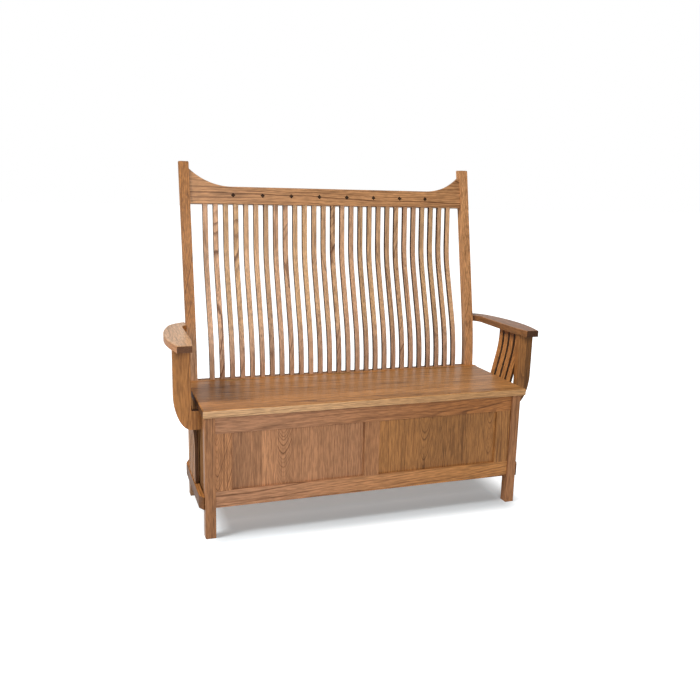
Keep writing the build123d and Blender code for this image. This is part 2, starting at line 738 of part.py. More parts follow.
# Arm support: a J whose foot meets the side of the box just below the lid
support_y = front_y + support_setback
support_inner_x = outer_x + support_gap
support_outer_x = support_inner_x + support_width
support_foot_top = lid_underside - support_foot_gap
support_bottom = support_foot_top - support_foot_height
support_curve_top = support_bottom + support_curve_rise
support_curve_x = support_outer_x - support_curve_run
with BuildPart() as arm_support_right:
    with BuildSketch(facing(support_y)):
        with BuildLine():
            Polyline(
                (support_outer_x, support_curve_top),
                (support_outer_x, arm_underside),
                (support_inner_x, arm_underside),
                (support_inner_x, support_foot_top),
                (side_outer_x, support_foot_top),
                (side_outer_x, support_bottom),
                (support_curve_x, support_bottom),
            )
            EllipticalCenterArc(
                center=(support_curve_x, support_curve_top),
                x_radius=support_curve_run,
                y_radius=support_curve_rise,
                start_angle=-90,
                arc_size=90,
            )
        make_face()
    extrude(amount=-support_thickness)
    inner_corner = arm_support_right.edges().filter_by(Axis.Y)
    inner_corner = inner_corner.sort_by_distance((support_inner_x, support_y, support_foot_top))[0]
    fillet(inner_corner, radius=support_inner_round)
arm_support_right.part.label = "arm_support_right"
export_step(arm_support_right.part, "parts/arm_support_right.step")

with BuildPart() as arm_support_left:
    mirror(arm_support_right.part, about=Plane.YZ)
arm_support_left.part.label = "arm_support_left"
export_step(arm_support_left.part, "parts/arm_support_left.step")
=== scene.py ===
import json
import math
from collections import namedtuple

import bmesh
import bpy
from mathutils import Matrix, Vector


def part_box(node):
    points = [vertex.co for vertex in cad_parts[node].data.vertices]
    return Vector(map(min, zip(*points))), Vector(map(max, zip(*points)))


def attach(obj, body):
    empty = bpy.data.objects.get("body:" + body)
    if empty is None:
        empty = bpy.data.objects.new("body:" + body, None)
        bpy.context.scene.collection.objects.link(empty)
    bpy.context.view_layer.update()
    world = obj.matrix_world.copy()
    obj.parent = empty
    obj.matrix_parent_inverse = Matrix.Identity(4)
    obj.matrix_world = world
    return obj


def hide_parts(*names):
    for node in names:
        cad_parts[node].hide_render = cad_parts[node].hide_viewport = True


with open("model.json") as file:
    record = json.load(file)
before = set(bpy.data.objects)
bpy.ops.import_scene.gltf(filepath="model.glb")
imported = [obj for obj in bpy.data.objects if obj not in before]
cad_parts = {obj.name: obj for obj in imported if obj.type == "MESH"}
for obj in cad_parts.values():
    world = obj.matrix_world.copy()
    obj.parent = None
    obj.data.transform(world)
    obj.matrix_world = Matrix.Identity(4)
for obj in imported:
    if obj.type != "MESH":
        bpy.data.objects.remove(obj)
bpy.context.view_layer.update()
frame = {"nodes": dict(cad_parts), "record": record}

AXES = {"X": Vector((1, 0, 0)), "Y": Vector((0, 1, 0)), "Z": Vector((0, 0, 1))}
WHITE = (1.0, 1.0, 1.0, 1.0)
# Where a Mix node has its share, its two colours and the colour that comes of them
MIX_SHARE = 0
MIX_FIRST = 6
MIX_SECOND = 7
MIX_RESULT = 2


# Node helpers
def feed(tree, socket, value):
    """Links a value that is a socket, and sets one that is a plain number or colour."""
    if isinstance(value, bpy.types.NodeSocket):
        tree.links.new(value, socket)
    else:
        socket.default_value = value


def add_node(tree, kind, inputs=None, **settings):
    """A new node with its settings made and its named inputs fed."""
    node = tree.nodes.new(kind)
    for name, value in settings.items():
        setattr(node, name, value)
    for name, value in (inputs or {}).items():
        feed(tree, node.inputs[name], value)
    return node


def calc(tree, operation, *values):
    """The result of a Math node."""
    node = add_node(tree, "ShaderNodeMath", operation=operation)
    for socket, value in zip(node.inputs, values):
        feed(tree, socket, value)
    return node.outputs[0]


def vector_calc(tree, operation, *values):
    """The result of a Vector Math node: a vector, or a number for a length or dot product."""
    node = add_node(tree, "ShaderNodeVectorMath", operation=operation)
    for socket, value in zip(node.inputs, values):
        feed(tree, socket, value)
    return node.outputs["Value" if operation in ("LENGTH", "DOT_PRODUCT") else "Vector"]


def scaled(tree, vector, scale):
    """A vector or a colour times a number."""
    node = add_node(
        tree, "ShaderNodeVectorMath", {"Vector": vector, "Scale": scale}, operation="SCALE"
    )
    return node.outputs["Vector"]


def split(tree, vector):
    """The X, Y and Z of a vector."""
    return add_node(tree, "ShaderNodeSeparateXYZ", {"Vector": vector}).outputs


def joined(tree, x, y, z):
    """A vector from its three parts."""
    return add_node(tree, "ShaderNodeCombineXYZ", {"X": x, "Y": y, "Z": z}).outputs["Vector"]


def remap(tree, value, from_low, from_high, to_low=0.0, to_high=1.0):
    """A value carried smoothly from one range to another, and held at its ends."""
    node = add_node(
        tree,
        "ShaderNodeMapRange",
        {
            "Value": value,
            "From Min": from_low,
            "From Max": from_high,
            "To Min": to_low,
            "To Max": to_high,
        },
        interpolation_type="SMOOTHSTEP",
    )
    return node.outputs["Result"]


def mix_colour(tree, share, first, second, blend_type="MIX"):
    """Two colours mixed by a share of the second."""
    node = add_node(tree, "ShaderNodeMix", data_type="RGBA", blend_type=blend_type)
    feed(tree, node.inputs[MIX_SHARE], share)
    feed(tree, node.inputs[MIX_FIRST], first)
    feed(tree, node.inputs[MIX_SECOND], second)
    return node.outputs[MIX_RESULT]


def noise(tree, place, repeats, detail=2.0):
    """A noise texture that repeats so many times to the metre along x, y and z."""
    stretched = vector_calc(tree, "MULTIPLY", place, repeats)
    inputs = {"Vector": stretched, "Scale": 1.0, "Detail": detail}
    return add_node(tree, "ShaderNodeTexNoise", inputs).outputs


def chance(tree, number):
    """A chance value and colour that belong to a number."""
    return add_node(tree, "ShaderNodeTexWhiteNoise", {"W": number}, noise_dimensions="1D").outputs


def new_group(name, inputs, outputs):
    """An empty shader node group, what it is given, and what it puts out."""
    group = bpy.data.node_groups.new(name, "ShaderNodeTree")
    for side, sockets in (("INPUT", inputs), ("OUTPUT", outputs)):
        for socket_name, kind in sockets.items():
            group.interface.new_socket(
                name=socket_name, in_out=side, socket_type=f"NodeSocket{kind}"
            )
    given = group.nodes.new("NodeGroupInput")
    result = group.nodes.new("NodeGroupOutput")
    return group, given.outputs, result.inputs


def grouped(tree, group, inputs):
    """The outputs of a node group that is placed in a material and fed."""
    node = tree.nodes.new("ShaderNodeGroup")
    node.node_tree = group
    for name, value in inputs.items():
        feed(tree, node.inputs[name], value)
    return node.outputs


def new_material(name):
    """An empty material and its node tree."""
    material = bpy.data.materials.new(name)
    material.use_nodes = True
    material.node_tree.nodes.clear()
    return material, material.node_tree


def surface(tree, inputs):
    """Ends a material's tree with a Principled shader whose named inputs are fed."""
    shader = add_node(tree, "ShaderNodeBsdfPrincipled", inputs)
    output = add_node(tree, "ShaderNodeOutputMaterial")
    tree.links.new(shader.outputs["BSDF"], output.inputs["Surface"])


# The figure of oak. Repeats are to the metre: across the board, through it and along its grain
FIGURE_MASKS = ("Rings", "Streaks", "Pores", "Flecks", "Drift")
MEANDER_REPEATS = (7.0, 7.0, 1.6)
RIPPLE_REPEATS = (55.0, 55.0, 7.0)
PORE_REPEATS = (1100.0, 1100.0, 45.0)
FLECK_REPEATS = (230.0, 230.0, 26.0)
DRIFT_REPEATS = (16.0, 16.0, 2.2)
STREAK_REPEATS = (170.0, 170.0, 4.0)
# The middle of a noise's levels, and the levels at which each mask starts and is full
NOISE_MIDDLE = 0.5
PORE_LEVELS = (0.55, 0.70)
FLECK_LEVELS = (0.36, 0.64)
DRIFT_LEVELS = (0.25, 0.75)
STREAK_LEVELS = (0.48, 0.68)
# Rings are counted out from the pith. Their spacing is uneven, and their lines ripple: how fast
# the spacing changes from ring to ring, and over how many rings each of the two moves a line
UNEVEN_PACE = 0.23
UNEVEN_RINGS = 2.6
RIPPLE_RINGS = 0.7
# The parts of a ring over which its dark early wood fades out, and over which it sets in
EARLY_WOOD_END = (0.02, 0.42)
EARLY_WOOD_ONSET = (0.93, 1.0)
# A ring's own depth sets in this part of a ring before its start
RING_LEAD = 0.04
# How dark the palest ring is, and how clearly the pores show away from the rings
LEAST_RING_DEPTH = 0.25
PORES_OFF_RINGS = 0.2


def oak_figure_group():
    """Growth rings, pores and slow drift of oak whose grain runs along z, with the pith at 0."""
    group, given, result = new_group(
        "oak figure",
        {"Board": "Vector", "Ring Width": "Float", "Wander": "Float", "Taper": "Float"},
        {name: "Float" for name in FIGURE_MASKS},
    )
    board = given["Board"]
    meander = noise(group, board, MEANDER_REPEATS)["Color"]
    meander = vector_calc(group, "SUBTRACT", meander, (NOISE_MIDDLE,) * 3)
    place = vector_calc(group, "ADD", board, scaled(group, meander, given["Wander"]))

    radius = vector_calc(group, "LENGTH", vector_calc(group, "MULTIPLY", place, (1.0, 1.0, 0.0)))
    runout = calc(group, "MULTIPLY", split(group, board)["Z"], given["Taper"])
    count = calc(group, "DIVIDE", calc(group, "SUBTRACT", radius, runout), given["Ring Width"])
    uneven = add_node(
        group,
        "ShaderNodeTexNoise",
        {"W": calc(group, "MULTIPLY", count, UNEVEN_PACE), "Scale": 1.0, "Detail": 1.0},
        noise_dimensions="1D",
    ).outputs["Fac"]
    count = calc(group, "MULTIPLY_ADD", uneven, UNEVEN_RINGS, count)
    ripple = calc(group, "SUBTRACT", noise(group, board, RIPPLE_REPEATS)["Fac"], NOISE_MIDDLE)
    count = calc(group, "MULTIPLY_ADD", ripple, RIPPLE_RINGS, count)

    phase = calc(group, "FRACT", count)
    early = remap(group, phase, *EARLY_WOOD_END, 1.0, 0.0)
    onset = remap(group, phase, *EARLY_WOOD_ONSET)
    ring_number = calc(group, "FLOOR", calc(group, "ADD", count, RING_LEAD))
    own = chance(group, ring_number)["Value"]
    own = calc(group, "MULTIPLY", own, own)
    depth = calc(group, "MULTIPLY_ADD", own, 1 - LEAST_RING_DEPTH, LEAST_RING_DEPTH)
    rings = calc(group, "MULTIPLY", calc(group, "MAXIMUM", early, onset), depth)

    pore = noise(group, place, PORE_REPEATS, detail=1.0)["Fac"]
    in_rings = calc(group, "MULTIPLY_ADD", rings, 1 - PORES_OFF_RINGS, PORES_OFF_RINGS)
    pores = calc(group, "MULTIPLY", remap(group, pore, *PORE_LEVELS), in_rings)
    flecks = remap(group, noise(group, place, FLECK_REPEATS)["Fac"], *FLECK_LEVELS)
    drift = remap(group, noise(group, board, DRIFT_REPEATS)["Fac"], *DRIFT_LEVELS)
    streak = noise(group, place, STREAK_REPEATS, detail=3.0)["Fac"]
    streaks = remap(group, streak, *STREAK_LEVELS)
    for name, value in zip(FIGURE_MASKS, (rings, streaks, pores, flecks, drift)):
        feed(group, result[name], value)
    return group


# How each glued board is cut from its tree: how far to a side and how deep the pith may lie,
# and how far along the tree the board may start. The seed step sets the pieces' boards apart
SEED_STEP = 7.3
PITH_REACH = 0.07
LEAST_PITH_DEPTH = 0.035
PITH_DEPTH_SPREAD = 0.09
START_SPREAD = 4.0
JOINT_HALF_WIDTH = 0.0006


def glued_boards_group():
    """Boards glued edge to edge across x. Each is cut from its own place in a tree."""
    group, given, result = new_group(
        "glued boards",
        {"Board": "Vector", "Width": "Float", "Start": "Float"},
        {"Board": "Vector", "Tone": "Float", "Joint": "Float"},
    )
    parts = split(group, given["Board"])
    across = calc(group, "DIVIDE", parts["X"], given["Width"])
    across = calc(group, "ADD", across, given["Start"])
    number = calc(group, "FLOOR", across)
    # From -0.5 at a board's low edge to 0.5 at its high one
    share = calc(group, "SUBTRACT", calc(group, "FRACT", across), 0.5)
    drawn = chance(group, calc(group, "MULTIPLY_ADD", given["Start"], SEED_STEP, number))
    draws = add_node(group, "ShaderNodeSeparateColor", {"Color": drawn["Color"]}).outputs
    side = remap(group, draws["Red"], 0.0, 1.0, -PITH_REACH, PITH_REACH)
    deep = calc(group, "MULTIPLY_ADD", draws["Green"], PITH_DEPTH_SPREAD, LEAST_PITH_DEPTH)
    x = calc(group, "MULTIPLY_ADD", share, given["Width"], side)
    y = calc(group, "ADD", parts["Y"], deep)
    z = calc(group, "MULTIPLY_ADD", draws["Blue"], START_SPREAD, parts["Z"])
    line = calc(group, "DIVIDE", JOINT_HALF_WIDTH, given["Width"])
    line_start = calc(group, "SUBTRACT", 0.5, line)
    joint = calc(group, "GREATER_THAN", calc(group, "ABSOLUTE", share), line_start)
    feed(group, result["Board"], joined(group, x, y, z))
    feed(group, result["Tone"], drawn["Value"])
    feed(group, result["Joint"], joint)
    return group


# How the stain takes. Each share is how far a mask carries the colour to a darker one, and
# streaks have the lower of theirs where the drift is low
DRIFT_SHARE = 0.16
STREAK_DRIFT = (0.1, 0.9)
STREAK_SHARES = (0.2, 0.7)
# Pores, end grain and joints are this much darker than the dark wood
PORE_TINT = (0.42, 0.36, 0.32, 1.0)
PORE_COLOUR_SHARES = {"Pores": 0.55, "End Grain": 0.82, "Joint": 0.5}
# How bright clear wood is, and how much darker a fleck is
CLEAR_LEVEL = 1.15
FLECK_CHANGE = -0.34
SMOOTH_ROUGHNESS = 0.36
ROUGHNESS_CHANGES = {"Pores": 0.25, "Drift": 0.06, "End Grain": 0.18}
RELIEF_CHANGES = {"Rings": -0.35, "Pores": -0.6, "Joint": -0.4}


def changed(tree, start, masks, changes):
    """A start value, changed by each named mask by its own amount."""
    for name, change in changes.items():
        start = calc(tree, "MULTIPLY_ADD", masks[name], change, start)
    return start


def oak_stain_group():
    """Colour, roughness and relief of stained and lacquered oak from its figure."""
    group, given, result = new_group(
        "oak stain",
        {
            **{name: "Float" for name in FIGURE_MASKS},
            "End Grain": "Float",
            "Joint": "Float",
            "Tone": "Float",
            "Figure": "Float",
            "Light Wood": "Color",
            "Dark Wood": "Color",
        },
        {"Color": "Color", "Roughness": "Float", "Relief": "Float"},
    )
    dark = given["Dark Wood"]
    ringed = calc(group, "MULTIPLY", given["Rings"], given["Figure"])
    lined = calc(group, "MULTIPLY", given["Streaks"], given["Figure"])
    streak_share = remap(group, given["Drift"], *STREAK_DRIFT, *STREAK_SHARES)
    lined = calc(group, "MULTIPLY", lined, streak_share)
    drifted = calc(group, "MULTIPLY", given["Drift"], DRIFT_SHARE)
    colour = given["Light Wood"]
    for share in (ringed, lined, drifted):
        colour = mix_colour(group, share, colour, dark)
    pore_colour = mix_colour(group, 1.0, dark, PORE_TINT, "MULTIPLY")
    for name, most in PORE_COLOUR_SHARES.items():
        share = calc(group, "MULTIPLY", given[name], most)
        colour = mix_colour(group, share, colour, pore_colour)
    level = calc(group, "MULTIPLY_ADD", given["Flecks"], FLECK_CHANGE, CLEAR_LEVEL)
    level = calc(group, "MULTIPLY", given["Tone"], level)
    feed(group, result["Color"], scaled(group, colour, level))
    rough = changed(group, SMOOTH_ROUGHNESS, given, ROUGHNESS_CHANGES)
    feed(group, result["Roughness"], rough)
    feed(group, result["Relief"], changed(group, 1.0, given, RELIEF_CHANGES))
    return group


OAK_FIGURE = oak_figure_group()
GLUED_BOARDS = glued_boards_group()
OAK_STAIN = oak_stain_group()

# Woods: the light ones are the wood itself, and the dark ones its lines. Some of them are painted
# shade on faces that look one way, and some painted sheen and highlights
LIGHT_WOOD = (0.560, 0.275, 0.115, 1.0)
PINK_WOOD = (0.560, 0.268, 0.135, 1.0)
ROSE_WOOD = (0.560, 0.260, 0.120, 1.0)
GOLD_WOOD = (0.580, 0.250, 0.075, 1.0)
AMBER_WOOD = (0.580, 0.242, 0.068, 1.0)
RUSSET_WOOD = (0.560, 0.248, 0.103, 1.0)
# Chestnut: painted shade at the right end of the top rail
CHESTNUT_SHADE_WOOD = (0.515, 0.200, 0.058, 1.0)
# Copper and brown: the arms' sides, painted shade below their paler tops
SHADED_COPPER_WOOD = (0.490, 0.190, 0.048, 1.0)
SHADED_BROWN_WOOD = (0.380, 0.170, 0.062, 1.0)
# Mauve: a painted sheen on the slats near the seat
MAUVE_SHEEN = (0.590, 0.350, 0.216, 1.0)
PALE_WOOD = (0.675, 0.394, 0.207, 1.0)
PALE_PINK_WOOD = (0.675, 0.382, 0.213, 1.0)
PALE_GOLD_WOOD = (0.675, 0.402, 0.200, 1.0)
SEAT_WOOD = (0.548, 0.236, 0.070, 1.0)
HONEY_WOOD = (0.608, 0.280, 0.090, 1.0)
# The lid's front edge: pale sapwood with a painted highlight, deeper towards the right
SAPWOOD_AND_HIGHLIGHT = (0.750, 0.440, 0.218, 1.0)
DEEP_SAPWOOD_AND_HIGHLIGHT = (0.620, 0.325, 0.130, 1.0)
SAP_LINES = (0.400, 0.200, 0.085, 1.0)
DARK_WOOD = (0.120, 0.040, 0.011, 1.0)
DUSKY_WOOD = (0.190, 0.095, 0.052, 1.0)
# The two woods below are painted shade, put on faces that look one way
SHADED_DIM_WOOD = (0.235, 0.098, 0.036, 1.0)
SHADED_WOOD = (0.090, 0.042, 0.018, 1.0)
PEG_WOOD = (0.045, 0.020, 0.007, 1.0)
AGED_BRONZE = (0.40, 0.22, 0.085, 1.0)

# Where a wood that turns does so: along the settle, and up from the seat, where it is a painted
# sheen
TURNING_REACH = (-0.5, 0.5)
SEAT_SHEEN_HEIGHTS = (0.54, 0.70)
# How squarely a face looks along a way before it starts to count, and before it counts in full
FACE_LIMITS = (0.45, 0.75)
END_GRAIN_LIMITS = (0.75, 0.95)
# The tones of glued boards lie between these shares of their piece's own
GLUED_TONES = (0.92, 1.07)
# How strongly the grain stands out, and how deep it is
GRAIN_RELIEF = 0.35
GRAIN_DEPTH = 0.0004
LACQUER_ROUGHNESS = 0.25

# One of a panel's chosen boards: its low edge, its tone, how much its figure shows, where its
# pith lies across and behind the panel, and how fast its rings run out along it
Board = namedtuple("Board", "low_edge tone figure pith_across pith_behind taper")
# How far along the tree a board starts, for each metre that its pith lies across
BOARD_START_STEP = 11.0
# A ramp holds places and values from 0 to 1, so those about 0 move to its middle, and tones
# are made smaller
RAMP_MIDDLE = 0.5
RAMP_TONE = 0.5
# The woods of the faces that look one way, which are painted light and shade, and what their light
# wood turns to at the right
FaceLook = namedtuple("FaceLook", "way light dark turning", defaults=(None,))


def stepped(tree, across, edges, values):
    """Three values that change in steps across a panel, as the channels of a ramp."""
    spot = calc(tree, "ADD", across, RAMP_MIDDLE)
    steps = add_node(tree, "ShaderNodeValToRGB", {"Fac": spot})
    ramp = steps.color_ramp
    ramp.interpolation = "CONSTANT"
    while len(ramp.elements) < len(edges):
        ramp.elements.new(1.0)
    for element, edge, value in zip(ramp.elements, edges, values):
        element.position = edge + RAMP_MIDDLE
        element.color = (*value, 1.0)
    return add_node(tree, "ShaderNodeSeparateColor", {"Color": steps.outputs["Color"]}).outputs


def chosen_boards(tree, place, boards):
    """The place, tone, figure and taper of each of a panel's chosen boards."""
    parts = split(tree, place)
    edges = [board.low_edge for board in boards]
    cuts = [
        (board.pith_across + RAMP_MIDDLE, board.pith_behind, board.taper) for board in boards
    ]
    looks = [(board.tone * RAMP_TONE, board.figure, 0.0) for board in boards]
    cut = stepped(tree, parts["X"], edges, cuts)
    look = stepped(tree, parts["X"], edges, looks)
    side = calc(tree, "SUBTRACT", cut["Red"], RAMP_MIDDLE)
    x = calc(tree, "SUBTRACT", parts["X"], side)
    y = calc(tree, "ADD", parts["Y"], cut["Green"])
    z = calc(tree, "MULTIPLY_ADD", side, BOARD_START_STEP, parts["Z"])
    tone = calc(tree, "MULTIPLY", look["Red"], 1 / RAMP_TONE)
    return joined(tree, x, y, z), tone, look["Green"], cut["Blue"]


def cut_from_tree(tree, place, node_name, along, across, pith, start):
    """Places on a node turned into places in its tree: grain along z, and the pith at 0."""
    grain, width = AXES[along], AXES[across]
    turn = Matrix((width, grain.cross(width), grain))
    low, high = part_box(node_name)
    centre = turn @ ((Vector(low) + Vector(high)) / 2)
    cut = {
        "Vector": place,
        "Rotation": tuple(turn.to_euler("XYZ")),
        "Location": tuple(Vector((*pith, start)) - centre),
    }
    return add_node(tree, "ShaderNodeMapping", cut).outputs["Vector"]


def facing_share(tree, normal, way, least, full):
    """From 0 to 1 as a face looks more squarely along a way, to either end of it."""
    facing = vector_calc(tree, "DOT_PRODUCT", normal, tuple(way))
    return remap(tree, calc(tree, "ABSOLUTE", facing), least, full)


def turned(tree, place, left_wood, right_wood):
    """A light wood that turns to another from the settle's left to its right."""
    share = remap(tree, split(tree, place)["X"], *TURNING_REACH)
    return mix_colour(tree, share, left_wood, right_wood)


def wood_colours(tree, place, light, dark, turning, foot, faces):
    """A light and a dark wood, changed to the right, with a painted sheen near the seat, and
    painted light and shade on some faces.
    """
    if turning:
        light = turned(tree, place["Object"], light, turning)
    if foot:
        near_seat = remap(tree, split(tree, place["Object"])["Z"], *SEAT_SHEEN_HEIGHTS, 1.0, 0.0)
        light = mix_colour(tree, near_seat, light, foot)
    if faces:
        facing = facing_share(tree, place["Normal"], AXES[faces.way], *FACE_LIMITS)
        face_light = faces.light
        if faces.turning:
            face_light = turned(tree, place["Object"], face_light, faces.turning)
        light = mix_colour(tree, facing, light, face_light)
        dark = mix_colour(tree, facing, dark, faces.dark)
    return light, dark


def oak(
    node_name,
    along,
    across,
    start,
    pith=(0.0, 0.08),
    board_width=None,
    boards=None,
    tone=1.0,
    figure=0.85,
    ring_width=0.0050,
    taper=0.02,
    wander=0.03,
    light=LIGHT_WOOD,
    dark=DARK_WOOD,
    turning=None,
    foot=None,
    faces=None,
    ends=END_GRAIN_LIMITS,
    coat=0.04,
    gloss=0.25,
):
    """Stained oak for one node.

    along, across: the ways of its grain and of its width.
    start: how far along the tree it is cut.
    pith: how far the middle of the tree lies from its own, across it and through it.
    board_width: it is glued up from boards of this width.
    boards: it is glued up from these boards.
    tone: how bright it is.
    figure: how much its rings and streaks show.
    ring_width, taper, wander: how wide its rings are, how fast they run out along it, and how
    far they stray.
    light, dark: its wood and the lines in it.
    turning: what its light wood turns to at the settle's right.
    foot: what its light wood turns to near the seat, as a painted sheen.
    faces: the other woods of its faces that look one way, which are painted light and shade.
    ends: how squarely a face looks along the grain before it starts to show end grain, and
    before it is all end grain.
    coat, gloss: how much its lacquer and its wood shine.
    """
    material, tree = new_material(f"oak {node_name.replace('_', ' ')}")
    place = add_node(tree, "ShaderNodeTexCoord").outputs
    board = cut_from_tree(tree, place["Object"], node_name, along, across, pith, start)
    joint = 0.0
    strength = tone
    if board_width:
        glued_inputs = {"Board": board, "Width": board_width, "Start": start}
        glued = grouped(tree, GLUED_BOARDS, glued_inputs)
        board, joint = glued["Board"], glued["Joint"]
        least, most = GLUED_TONES
        strength = remap(tree, glued["Tone"], 0.0, 1.0, tone * least, tone * most)
    if boards:
        board, strength, figure, taper = chosen_boards(tree, board, boards)
        strength = calc(tree, "MULTIPLY", strength, tone)
    shape_inputs = {"Board": board, "Ring Width": ring_width, "Wander": wander, "Taper": taper}
    shape = grouped(tree, OAK_FIGURE, shape_inputs)
    light, dark = wood_colours(tree, place, light, dark, turning, foot, faces)
    stain = grouped(
        tree,
        OAK_STAIN,
        {
            **{name: shape[name] for name in FIGURE_MASKS},
            "End Grain": facing_share(tree, place["Normal"], AXES[along], *ends),
            "Joint": joint,
            "Tone": strength,
            "Figure": figure,
            "Light Wood": light,
            "Dark Wood": dark,
        },
    )
    bump_inputs = {"Strength": GRAIN_RELIEF, "Distance": GRAIN_DEPTH, "Height": stain["Relief"]}
    bump = add_node(tree, "ShaderNodeBump", bump_inputs)
    surface(
        tree,
        {
            "Base Color": stain["Color"],
            "Roughness": stain["Roughness"],
            "Normal": bump.outputs["Normal"],
            "Specular IOR Level": gloss,
            "Coat Weight": coat,
            "Coat Roughness": LACQUER_ROUGHNESS,
        },
    )
    return material


# The levels of noise between which a finish turns to its spots, and how its roughness changes
# off them and on them
SPECKLE_LEVELS = (0.3, 0.7)
SPECKLE_ROUGHNESS = (-0.06, 0.08)


def speckled(name, colour, roughness, repeats, metallic=0.0, gloss=0.5, spots=0.15):
    """A finish with spots that are darker by a share, and a little rougher."""
    material, tree = new_material(name)
    place = add_node(tree, "ShaderNodeTexCoord").outputs["Object"]
    speckle = noise(tree, place, (repeats, repeats, repeats))["Fac"]
    darker = (*(channel * (1 - spots) for channel in colour[:3]), 1.0)
    rough_limits = [roughness + change for change in SPECKLE_ROUGHNESS]
    surface(
        tree,
        {
            "Base Color": mix_colour(tree, remap(tree, speckle, *SPECKLE_LEVELS), colour, darker),
            "Roughness": remap(tree, speckle, *SPECKLE_LEVELS, *rough_limits),
            "Metallic": metallic,
            "Specular IOR Level": gloss,
        },
    )
    return material


# Pieces with eased edges. Faces that turn by less than the flat angle are joined up, and edges
# that turn by more than the smooth angle stay sharp
MERGE_DISTANCE = 1e-5
FLAT_ANGLE = math.radians(0.4)
SMOOTH_ANGLE = math.radians(38)
# How far the faces at a corner turn at least
CLEAR_CORNER = math.radians(50)
SHALLOW_CORNER = math.radians(30)
# The longest edges of the mouths of mortises, and the least height of the crest rail's top
MORTISE_MOUTH = 0.030
POST_MORTISE_MOUTH = 0.031
CREST_TOP_Z = 1.16
# How steep an edge along a post or a slat is at least, and how squarely a square face looks
POST_STEEPNESS = 0.9
SLAT_STEEPNESS = 0.5
SQUARENESS = 0.999


def add_object(mesh, name, material):
    """An object of the scene made from a bmesh, with one material."""
    data = bpy.data.meshes.new(name)
    mesh.to_mesh(data)
    mesh.free()
    data.materials.append(material)
    made = bpy.data.objects.new(name, data)
    bpy.context.scene.collection.objects.link(made)
    return made


def clean_copy(node_name):
    """A bmesh of a CAD node with its triangles joined up again into whole faces."""
    mesh = bmesh.new()
    mesh.from_mesh(frame["nodes"][node_name].data)
    bmesh.ops.remove_doubles(mesh, verts=mesh.verts, dist=MERGE_DISTANCE)
    bmesh.ops.dissolve_limit(mesh, angle_limit=FLAT_ANGLE, verts=mesh.verts, edges=mesh.edges)
    mesh.normal_update()
    return mesh


def is_corner(edge, least_angle=CLEAR_CORNER):
    """True for an edge that stands out between two faces at a clear angle."""
    return (
        len(edge.link_faces) == 2
        and edge.is_convex
        and edge.calc_face_angle(0.0) > least_angle
    )


def steepness(edge):
    """How steeply an edge rises: 0 for a level one, and 1 for an upright one."""
    return abs((edge.verts[1].co - edge.verts[0].co).normalized().z)


def long_corner(edge):
    """A corner that isn't the mouth of a mortise."""
    return is_corner(edge) and edge.calc_length() > MORTISE_MOUTH


def post_corner(edge):
    """A corner along a post or round its top, and not the mouth of its mortise."""
    runs_up = steepness(edge) > POST_STEEPNESS
    return is_corner(edge) and (runs_up or edge.calc_length() > POST_MORTISE_MOUTH)


def crest_corner(edge):
    """A long lower corner of the crest rail, or any along its swept top."""
    middle = (edge.verts[0].co + edge.verts[1].co) / 2
    return long_corner(edge) or (is_corner(edge) and middle.z > CREST_TOP_Z)


def arm_corner(edge):
    """A corner round an arm, and not the mouth of a mortise in its underside."""
    squared = all(
        max(abs(part) for part in face.normal) > SQUARENESS for face in edge.link_faces
    )
    is_mouth = squared and edge.calc_length() < MORTISE_MOUTH
    return is_corner(edge, least_angle=SHALLOW_CORNER) and not is_mouth


def slat_corner(edge):
    """A corner along a slat, and not round its end."""
    return is_corner(edge) and steepness(edge) > SLAT_STEEPNESS


def no_corner(edge):
    """No edge at all, for a piece whose edges are round already."""
    return False


def eased(node_name, slot, chosen, along, across, easing, **cut):
    """An oak piece in the shape of a CAD node whose chosen edges are rounded over.

    cut is how its oak is cut and coloured, in the words that oak takes.
    """
    mesh = clean_copy(node_name)
    bmesh.ops.bevel(
        mesh,
        geom=[edge for edge in mesh.edges if chosen(edge)],
        offset=easing,
        offset_type="OFFSET",
        affect="EDGES",
        segments=2,
        profile=0.5,
        material=-1,
        clamp_overlap=True,
    )
    piece = add_object(mesh, f"{node_name}_eased", oak(node_name, along, across, **cut))
    piece.data.shade_smooth()
    piece.data.set_sharp_from_angle(angle=SMOOTH_ANGLE)
    flats = piece.modifiers.new("even shading on the flats", "WEIGHTED_NORMAL")
    flats.mode = "FACE_AREA"
    flats.weight = 100
    flats.keep_sharp = True
    bodies = frame["record"]["behaviour"]["bodies"]
    body = next(name for name, nodes in bodies.items() if node_name in nodes)
    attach(piece, body)
    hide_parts(node_name)


def dress(node_name, material):
    """Gives a CAD node that stays its material."""
    data = frame["nodes"][node_name].data
    data.materials.clear()
    data.materials.append(material)


# Back slats, from the left. Each has its own tone, and lies its own turn in degrees round the
# pith, so that its rings run straight down its face or aslant through it
SLAT_TONES = [
    1.00, 1.04, 0.92, 1.02, 1.03, 1.04, 0.80, 1.00, 0.90, 1.02, 1.05, 0.98, 0.96, 0.94,
    1.00, 0.96, 0.88, 1.00, 0.96, 0.84, 0.92, 1.00, 0.84, 0.94, 0.86, 0.96, 0.98,
]
SLAT_TURNS = [
    8, 70, 12, 60, 5, 14, 28, 6, 64, 10, 4, 24, 40, 62,
    7, 20, 34, 8, 30, 12, 22, 6, 18, 44, 10, 26, 12,
]
SLAT_LEVEL = 1.03
SLAT_WOODS = (PALE_WOOD, PALE_PINK_WOOD, PALE_GOLD_WOOD)
SLAT_START_STEP = 0.83
NEAREST_PITH = 0.09
PITH_STEP = 0.012
# Strides through a round of seven shuffle the piths and the woods along the back
ROUND = 7
PITH_STRIDE = 5
WOOD_STRIDE = 4
FLAMED_SLATS = (2, 4, 9, 14, 21)
FLAMED_CUT = dict(figure=1.0, ring_width=0.011, taper=0.28, wander=0.05, dark=DARK_WOOD)
PLAIN_CUT = dict(figure=0.9, ring_width=0.0055, dark=DUSKY_WOOD)


